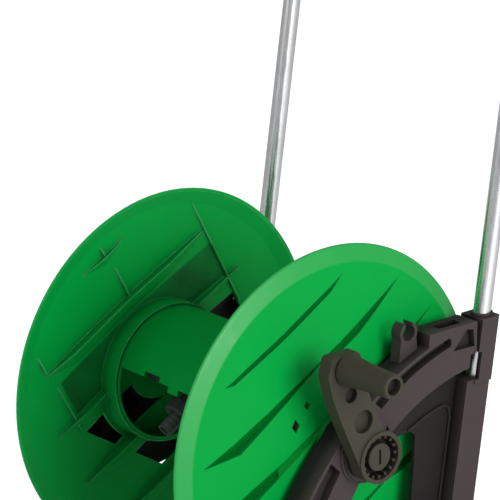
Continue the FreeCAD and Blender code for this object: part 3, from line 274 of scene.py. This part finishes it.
def painted_shade_row(mat):
    """Mixes painted shade into the row, between base colour and shader."""
    tree = mat.node_tree
    shader = tree.nodes["Principled BSDF"]
    before = shader.inputs["Base Color"].links[0].from_socket
    place = add(tree, "TexCoord").outputs["Object"]
    offset = add(tree, "VectorMath", {0: place, 1: drum}, operation="SUBTRACT").outputs[0]
    along = add(tree, "VectorMath", {0: offset, 1: (0.0, math.cos(SLANT), math.sin(SLANT))}, operation="DOT_PRODUCT")
    over = add(tree, "VectorMath", {0: offset, 1: (0.0, -math.sin(SLANT), math.cos(SLANT))}, operation="DOT_PRODUCT")
    row = band(tree, over.outputs["Value"], ROW_D[0] * FLANGE_R, ROW_D[1] * FLANGE_R)
    ends = band(tree, along.outputs["Value"], ROW_S[0] * FLANGE_R, ROW_S[1] * FLANGE_R)
    share = add(tree, "Math", {0: row, 1: ends}, operation="MULTIPLY").outputs[0]
    cloud = add(tree, "TexNoise", {"Vector": place, "Scale": per(CLOUD), "Detail": 3.0}).outputs["Fac"]
    depth = add(tree, "MapRange", {0: cloud, 1: 0.3, 2: 0.7, 3: 0.55, 4: 0.9}).outputs[0]
    share = add(tree, "Math", {0: share, 1: depth}, operation="MULTIPLY").outputs[0]
    normal = add(tree, "SeparateXYZ", {0: add(tree, "NewGeometry").outputs["Normal"]}).outputs[0]
    inner_face = add(tree, "Math", {0: normal, 1: 0.05}, operation="GREATER_THAN").outputs[0]
    share = add(tree, "Math", {0: share, 1: inner_face}, operation="MULTIPLY").outputs[0]
    # Painted shade: the row turns a darker green.
    shown = add(tree, "Mix", {0: share, 6: before, 7: linear("#0e4f24")}, data_type="RGBA").outputs[2]
    tree.links.new(shown, shader.inputs["Base Color"])
    return mat


# Its base green is a little darker than the crank side's, painted shade for the drum's far side.
inlet_side_green = painted_shade_row(moulded("moulded polypropylene inlet side flange", "#009138", "#00993e", "#6fd79c",
                                    edge=2.2, worn=1.0, shade=0.45, reach=22.0, **GREEN_SKIN))
print("flange finish:", inlet_side_green.name)

# %% [markdown]
# The tyre is black rubber with dust worked into it.  Dust lies where the noise is high, which
# breaks the black up the way a used tread looks, and its grain is coarse and matt.

# %% Tyre rubber
def tyre_rubber():
    mat = bpy.data.materials.new("vulcanised rubber")
    mat.use_nodes = True
    tree = mat.node_tree
    shader = tree.nodes["Principled BSDF"]
    place = add(tree, "TexCoord").outputs["Object"]
    dust = add(tree, "TexNoise", {"Vector": place, "Scale": per(18), "Detail": 6.0, "Roughness": 0.65})
    share = add(tree, "MapRange", {0: dust.outputs["Fac"], 1: 0.45, 2: 0.8, 3: 0.0, 4: 0.7})
    colour = add(tree, "Mix", {0: share.outputs[0], 6: linear("#262525"), 7: linear("#4a4641")},
                 data_type="RGBA")
    grit = add(tree, "TexNoise", {"Vector": place, "Scale": per(1.8), "Detail": 3.0})
    bump = add(tree, "Bump", {"Height": grit.outputs["Fac"], "Strength": 0.4, "Distance": 0.12 * MM})
    rough = add(tree, "MapRange", {0: dust.outputs["Fac"], 1: 0.3, 2: 0.8, 3: 0.66, 4: 0.88})
    tree.links.new(colour.outputs[2], shader.inputs["Base Color"])
    tree.links.new(rough.outputs[0], shader.inputs["Roughness"])
    tree.links.new(bump.outputs["Normal"], shader.inputs["Normal"])
    return mat


rubber = tyre_rubber()
print("tyre finish:", rubber.name)

# %% [markdown]
# Drawn aluminium tube is bright, with faint lines along its length left by the die.  The lines are
# noise stretched eighty times along the tube.  The tubes lean back, so the Mapping node turns the
# pattern by the same lean.  Zinc plating is duller and mottled, with no direction.

# %% Metals
HANDLE_LEAN = math.radians(8.3)


def metal(name, base, shade, rough, stretch, lean, streak, relief=0.02):
    """A metal whose noise is stretched along the leaning Z axis by stretch."""
    mat = bpy.data.materials.new(name)
    mat.use_nodes = True
    tree = mat.node_tree
    shader = tree.nodes["Principled BSDF"]
    shader.inputs["Metallic"].default_value = 1.0
    place = add(tree, "TexCoord").outputs["Object"]
    turn = add(tree, "Mapping", {"Vector": place, "Rotation": (lean, 0.0, 0.0), "Scale": (1.0, 1.0, 1.0 / stretch)})
    lines = add(tree, "TexNoise", {"Vector": turn.outputs[0], "Scale": per(streak), "Detail": 3.0})
    cloud = add(tree, "TexNoise", {"Vector": place, "Scale": per(40), "Detail": 4.0})
    blend = add(tree, "Math", {0: lines.outputs["Fac"], 1: cloud.outputs["Fac"]}, operation="MULTIPLY")
    tone = add(tree, "MapRange", {0: blend.outputs[0], 1: 0.12, 2: 0.42, 3: 0.0, 4: 1.0})
    colour = add(tree, "Mix", {0: tone.outputs[0], 6: linear(shade), 7: linear(base)}, data_type="RGBA")
    dull = add(tree, "MapRange", {0: lines.outputs["Fac"], 1: 0.3, 2: 0.7, 3: rough - 0.03, 4: rough + 0.05})
    bump = add(tree, "Bump", {"Height": lines.outputs["Fac"], "Strength": 0.25, "Distance": relief * MM})
    tree.links.new(colour.outputs[2], shader.inputs["Base Color"])
    tree.links.new(dull.outputs[0], shader.inputs["Roughness"])
    tree.links.new(bump.outputs["Normal"], shader.inputs["Normal"])
    return mat


aluminium = metal("drawn aluminium", "#e8e9eb", "#d6d8da", 0.24, 80.0, HANDLE_LEAN, 1.6, relief=0.005)
zinc = metal("zinc plated steel", "#c2c4c6", "#989b9f", 0.38, 1.0, 0.0, 3.5)
# The grip's pin is blackened against rust, so its head is hardly seen in the grip's end.
black_steel = metal("blackened steel", "#3a3935", "#2b2a27", 0.45, 1.0, 0.0, 3.5)
print("metals:", aluminium.name, zinc.name, black_steel.name)

# %% [markdown]
# Each measured part keeps its own mesh and only gets a finish.  The record says which material
# slot a part uses, so one table from slot to finish dresses most of them.  A second table names the
# few parts whose shape places painted shade or highlight on them, or that are blackened.

# %% Dress the measured parts
FINISH = {"drum_green": green, "hubcap_green": green, "frame_charcoal": charcoal, "wheel_charcoal": charcoal,
          "crank_charcoal": crank_black, "fitting_grey": nylon_grey, "tube_aluminium": aluminium,
          "steel": zinc, "bush_dark": acetal, "tyre_rubber": rubber, "soft_rubber": soft_rubber}
SPECIAL = {"side_frame_right": frame_charcoal, "side_frame_left": frame_charcoal, "flange_right": crank_side_green,
           "flange_left": inlet_side_green, "core_shell": core_green, "grip_pin": black_steel}
slot_of = {part["node"]: part["material_slot"] for part in frame["record"]["subparts"]}
for node, obj in frame["nodes"].items():
    obj.data.materials.clear()
    obj.data.materials.append(SPECIAL.get(node, FINISH[slot_of[node]]))
print("dressed", len(slot_of), "parts")

# %% [markdown]
# New surfaces are grids of points.  A turned piece is one closed outline carried round an axis:
# rows follow the outline and columns follow the turn.  Both directions close on themselves, so
# every edge is shared by two faces and the piece is watertight.  Where an outline starts and ends on
# the axis, its two poles would keep a bare edge between them, so edges without a face are removed.

# %% Surface from a grid
def surface(name, points, finish, body):
    """points[i, j] is a grid that closes in i and j; quads join (i, j), (i, j+1), (i+1, j+1), (i+1, j)."""
    rows, columns = points.shape[:2]
    index = np.arange(rows * columns).reshape(rows, columns)
    down = np.roll(index, -1, axis=0)
    quads = np.stack([index, np.roll(index, -1, axis=1), np.roll(down, -1, axis=1), down], axis=-1)
    mesh = bpy.data.meshes.new(name)
    mesh.from_pydata(points.reshape(-1, 3).tolist(), [], quads.reshape(-1, 4).tolist())
    work = bmesh.new()
    work.from_mesh(mesh)
    bmesh.ops.remove_doubles(work, verts=work.verts, dist=1e-6)
    bmesh.ops.delete(work, geom=[edge for edge in work.edges if edge.is_wire], context="EDGES")
    bmesh.ops.recalc_face_normals(work, faces=work.faces)
    work.to_mesh(mesh)
    work.free()
    mesh.shade_smooth()
    obj = bpy.data.objects.new(name, mesh)
    bpy.context.scene.collection.objects.link(obj)
    mesh.materials.append(finish)
    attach(obj, body)
    print(name, len(mesh.vertices), "points")
    return obj


# %% [markdown]
# A mould has no knife edges.  Cutting the corners of the outline again and again, each time
# keeping a quarter and three quarters of every side, turns it into a smooth curve.

# %% Rounded outline
def rounded_loop(corners, rounds=3):
    """Corner cutting: each side AB gives the points 3/4 A + 1/4 B and 1/4 A + 3/4 B."""
    loop = np.array(corners, float)
    for _ in range(rounds):
        ahead = np.roll(loop, -1, axis=0)
        loop = np.stack([0.75 * loop + 0.25 * ahead, 0.25 * loop + 0.75 * ahead], axis=1).reshape(-1, 2)
    return loop


def turned(loop, centre, steps, relief=None):
    """Carries (radius, x) outline points round the X axis through centre.

    y = centre y + r cos(angle) and z = centre z + r sin(angle); relief(angle, x, r) adds to r, in mm.
    """
    angle = np.linspace(0.0, 2 * np.pi, steps, endpoint=False)[None, :]
    radius, along = loop[:, 0:1] * MM, loop[:, 1:2] * MM + 0.0 * angle
    if relief is not None:
        radius = radius + relief(angle, along, radius) * MM
    return np.stack([along, centre.y + radius * np.cos(angle), centre.z + radius * np.sin(angle)], axis=-1)


print("a square of", 4, "corners becomes", len(rounded_loop([(0, 0), (1, 0), (1, 1), (0, 1)])), "points")

# %% [markdown]
# The crank grip is turned by hand at every winding, so it tapers outwards for the fingers and has
# a hollow at its tip round the head of the pin, deep enough to clear it.  A lathe outline is the plain
# way to make it.  Four faint flats round the taper stop it from slipping.

# %% Crank grip
low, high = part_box("crank_grip")
base_x, tip_x = low.x / MM, high.x / MM
base_r = (high.y - low.y) / 2 / MM
bore, rim = 5.15, base_r
hollow_x = tip_x - 10.2
FLAT_DEPTH, FLATS = 0.35, 4
grip_loop = rounded_loop([
    (bore, base_x), (rim - 2.0, base_x), (rim, base_x), (rim, base_x + 3), (rim - 0.6, base_x + 9),
    (rim - 2.2, base_x + 26), (rim - 3.4, base_x + 46), (rim - 3.9, tip_x - 8), (rim - 4.0, tip_x - 2.5),
    (rim - 5.0, tip_x), (rim - 7.0, tip_x), (9.4, tip_x), (8.6, tip_x - 0.4), (8.5, tip_x - 4),
    (8.5, tip_x - 9.4), (8.0, hollow_x), (bore, hollow_x), (bore, tip_x - 15), (bore, base_x + 6)])


def finger_flats(angle, along, radius):
    """-FLAT_DEPTH (1 - cos(FLATS angle)) / 2, fading towards both ends, and none inside the bore."""
    middle = (along / MM - base_x) / (tip_x - base_x)
    fade = np.clip(4 * middle * (1 - middle), 0, 1)
    return -FLAT_DEPTH * fade * (0.5 - 0.5 * np.cos(FLATS * angle)) * (radius > 9 * MM)


grip = surface("crank_grip_moulded", turned(grip_loop, axis["grip_spin"], 96, finger_flats), crank_black,
               "grip")
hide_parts("crank_grip")

# %% [markdown]
# The tyre is one ring of rubber.  Its outline is rounded at the shoulders, and two staggered rows
# of bars are cut into the tread.  A smooth step gives every bar a sloping wall, which rubber needs
# to leave its mould.

# %% Tyres
TREAD_BARS = 36
WHEEL_R = 85.0
RIM_R = 74.05
TREAD_DEPTH = 2.4


def step(value, start, end):
    """Smooth step: 3t^2 - 2t^3 with t from 0 at start to 1 at end."""
    t = np.clip((value - start) / (end - start), 0, 1)
    return t * t * (3 - 2 * t)


def tyre(side, body):
    low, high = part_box("tyre_" + side)
    x0, x1 = low.x / MM, high.x / MM
    middle = 0.5 * (x0 + x1)
    crown = np.linspace(x0 + 9, x1 - 9, 22)
    ring = [(WHEEL_R - 0.10 * abs(x - middle) / 4, x) for x in crown]
    loop = rounded_loop([(RIM_R, x0 + 1.6), (RIM_R + 4, x0 + 0.4), (WHEEL_R - 4.5, x0), (WHEEL_R - 1.6, x0 + 2.0)]
                        + ring + [(WHEEL_R - 1.6, x1 - 2.0), (WHEEL_R - 4.5, x1), (RIM_R + 4, x1 - 0.4),
                                  (RIM_R, x1 - 1.6), (RIM_R, x1 - 10), (RIM_R, middle), (RIM_R, x0 + 10)], 2)

    def tread(angle, along, radius):
        """Grooves TREAD_DEPTH deep: a cosine round the wheel, cut square by a smooth step, a row each side."""
        across = along / MM - middle
        shift = np.where(across < 0, 0.0, np.pi)
        wave = np.cos(TREAD_BARS * angle + shift + 0.10 * np.abs(across))
        cut = step(wave, 0.35, 0.72) * step(np.abs(across), 3.0, 5.0)
        centre_groove = step(1.6 - np.abs(across), 0.0, 0.9)
        on_tread = step(radius / MM, WHEEL_R - 3.4, WHEEL_R - 1.5)
        return -TREAD_DEPTH * on_tread * np.maximum(cut, centre_groove)

    obj = surface("tyre_%s_moulded" % side, turned(loop, axis[body + "_spin"], 720, tread), rubber, body)
    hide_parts("tyre_" + side)


tyre("right", "wheel_right")
tyre("left", "wheel_left")

# %% [markdown]
# The hand grip is a soft sleeve round the middle of the bar.  Shallow rings give the fingers hold.
# They are a raised cosine along the sleeve, faded out near both ends where the sleeve is plain.

# %% Hand grip
low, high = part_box("handle_grip")
bar = Vector((0.0, (low.y + high.y) / 2, (low.z + high.z) / 2))
outer = (high.y - low.y) / 2 / MM
end = high.x / MM
along = np.linspace(-end + 3.0, end - 3.0, 240)
RING_PITCH, RING_DEPTH = 9.0, 0.9
wave = 0.5 - 0.5 * np.cos(2 * np.pi * along / RING_PITCH)
rings = step(end - np.abs(along), 8.0, 14.0) * wave * RING_DEPTH
skin = [(outer - 1.1, -end), (outer - 0.2, -end + 0.8)] + list(zip(outer - rings, along))
skin += [(outer - 0.2, end - 0.8), (outer - 1.1, end)] + [(outer - 3.0, x) for x in (end, 0.0, -end)]
sleeve = surface("handle_grip_moulded", turned(rounded_loop(skin, 1), bar, 72), soft_rubber, "frame")
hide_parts("handle_grip")

# %% [markdown]
# The hub cap hides the axle end.  It is a shallow dome with one ring and a rolled edge, so the
# outline goes out along the dome and back along the hollow inside.

# %% Hub caps
def hubcap(side, body):
    low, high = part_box("hubcap_" + side)
    sign = 1.0 if side == "right" else -1.0
    foot = min(abs(low.x), abs(high.x)) / MM
    top = max(abs(low.x), abs(high.x)) / MM
    radius = (high.y - low.y) / 2 / MM
    loop = [(0.0, top), (6.0, top - 0.1), (10.5, top - 0.6), (11.5, top - 1.5), (12.8, top - 1.5), (13.8, top - 0.9),
            (17.5, top - 2.2), (radius - 0.6, top - 4.6), (radius, top - 6.5), (radius, foot + 1.0), (radius, foot),
            (radius - 2.0, foot), (radius - 4.6, foot), (radius - 5.2, top - 6.0), (14.0, top - 3.8),
            (8.0, top - 3.0), (0.0, top - 2.9)]
    curve = np.array(loop, float)
    curve = np.concatenate([curve[:1], rounded_loop(loop, 2)[2:-6], curve[-1:]])
    curve[:, 1] *= sign
    obj = surface("hubcap_%s_moulded" % side, turned(curve, axis[body + "_spin"], 96), green, body)
    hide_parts("hubcap_" + side)


hubcap("right", "wheel_right")
hubcap("left", "wheel_left")

# %% [markdown]
# The floor is one large pale sheet.  It catches the soft shadow that sets the cart down.  To the
# camera it glows a little, like lit backdrop paper, but that glow throws no light on the cart.

# %% Floor
PAPER_GLOW = 0.75


def floor_finish():
    mat = bpy.data.materials.new("painted studio floor")
    mat.use_nodes = True
    tree = mat.node_tree
    shader = tree.nodes["Principled BSDF"]
    place = add(tree, "TexCoord").outputs["Object"]
    cloud = add(tree, "TexNoise", {"Vector": place, "Scale": 1.2, "Detail": 2.0})
    tone = add(tree, "Mix", {0: cloud.outputs["Fac"], 6: linear("#f6f6f6"), 7: linear("#fafafa")}, data_type="RGBA")
    tree.links.new(tone.outputs[2], shader.inputs["Base Color"])
    seen = add(tree, "LightPath").outputs["Is Camera Ray"]
    paper = add(tree, "Math", {0: seen, 1: PAPER_GLOW}, operation="MULTIPLY")
    tree.links.new(tone.outputs[2], shader.inputs["Emission Color"])
    tree.links.new(paper.outputs[0], shader.inputs["Emission Strength"])
    shader.inputs["Roughness"].default_value = 0.9
    return mat


half = 12.0
sheet = bpy.data.meshes.new("floor")
corners = [(-half, -half, 0.0), (half, -half, 0.0), (half, half, 0.0), (-half, half, 0.0)]
sheet.from_pydata(corners, [], [(0, 1, 2, 3)])
floor = bpy.data.objects.new("floor", sheet)
bpy.context.scene.collection.objects.link(floor)
sheet.materials.append(floor_finish())
print("floor is", 2 * half, "m square")

# %% [markdown]
# Soft studio light: a white room gives an even base, a large panel on the crank side is the key, and
# a weaker one in front opens the shadows.  Each panel is aimed at the drum.

# %% Light
ROOM_LIGHT, ROOM_SEEN = 0.42, 1.0
WHITE = (1.0, 1.0, 1.0, 1.0)
world = bpy.data.worlds.new("white room")
bpy.context.scene.world = world
world.use_nodes = True
room = world.node_tree
room.nodes.clear()
glow = add(room, "Background", {"Color": WHITE, "Strength": ROOM_LIGHT})
seen = add(room, "Background", {"Color": WHITE, "Strength": ROOM_SEEN})
which = add(room, "LightPath")
both = add(room, "MixShader", {0: which.outputs["Is Camera Ray"], 1: glow.outputs[0], 2: seen.outputs[0]})
add(room, "OutputWorld", {"Surface": both.outputs[0]})


def panel(name, place, size, power):
    """Square area light at place, facing the drum."""
    lamp = bpy.data.lights.new(name, "AREA")
    lamp.size = size
    lamp.energy = power
    obj = bpy.data.objects.new(name, lamp)
    bpy.context.scene.collection.objects.link(obj)
    obj.location = Vector(place)
    obj.rotation_mode = "QUATERNION"
    obj.rotation_quaternion = (drum - Vector(place)).to_track_quat("-Z", "Y")
    print(name, power, "W")


panel("key_panel", (3.2, -0.2, 1.5), 1.8, 85.0)
panel("front_panel", (-0.6, -3.0, 1.6), 2.0, 8.0)
bpy.context.scene.view_settings.view_transform = "Standard"

# %% [markdown]
# The camera stands off with a long lens, which keeps the two flanges nearly the same size.  A
# small shift, in place of a tilt, keeps the uprights straight while the drum sits low in frame.

# %% Camera
AZIMUTH, ELEVATION = math.radians(49.28), math.radians(17.585)
STAND = Vector((2.3122, -1.9727, 1.1386))  # from the drum axis, in metres
back = Vector((math.sin(AZIMUTH) * math.cos(ELEVATION), -math.cos(AZIMUTH) * math.cos(ELEVATION),
               math.sin(ELEVATION)))
across = Vector((math.cos(AZIMUTH), math.sin(AZIMUTH), 0.0))
lens = bpy.data.cameras.new("studio camera")
lens.lens = 218.86
lens.sensor_width = 36.0
lens.shift_x = -0.0144
lens.shift_y = -0.0098
lens.clip_end = 100.0
camera = bpy.data.objects.new("studio camera", lens)
bpy.context.scene.collection.objects.link(camera)
facing = Matrix((across, back.cross(across), back)).transposed().to_4x4()
camera.matrix_world = Matrix.Translation(drum + STAND) @ facing
bpy.context.scene.camera = camera
print("camera", tuple(round(v, 3) for v in camera.location))
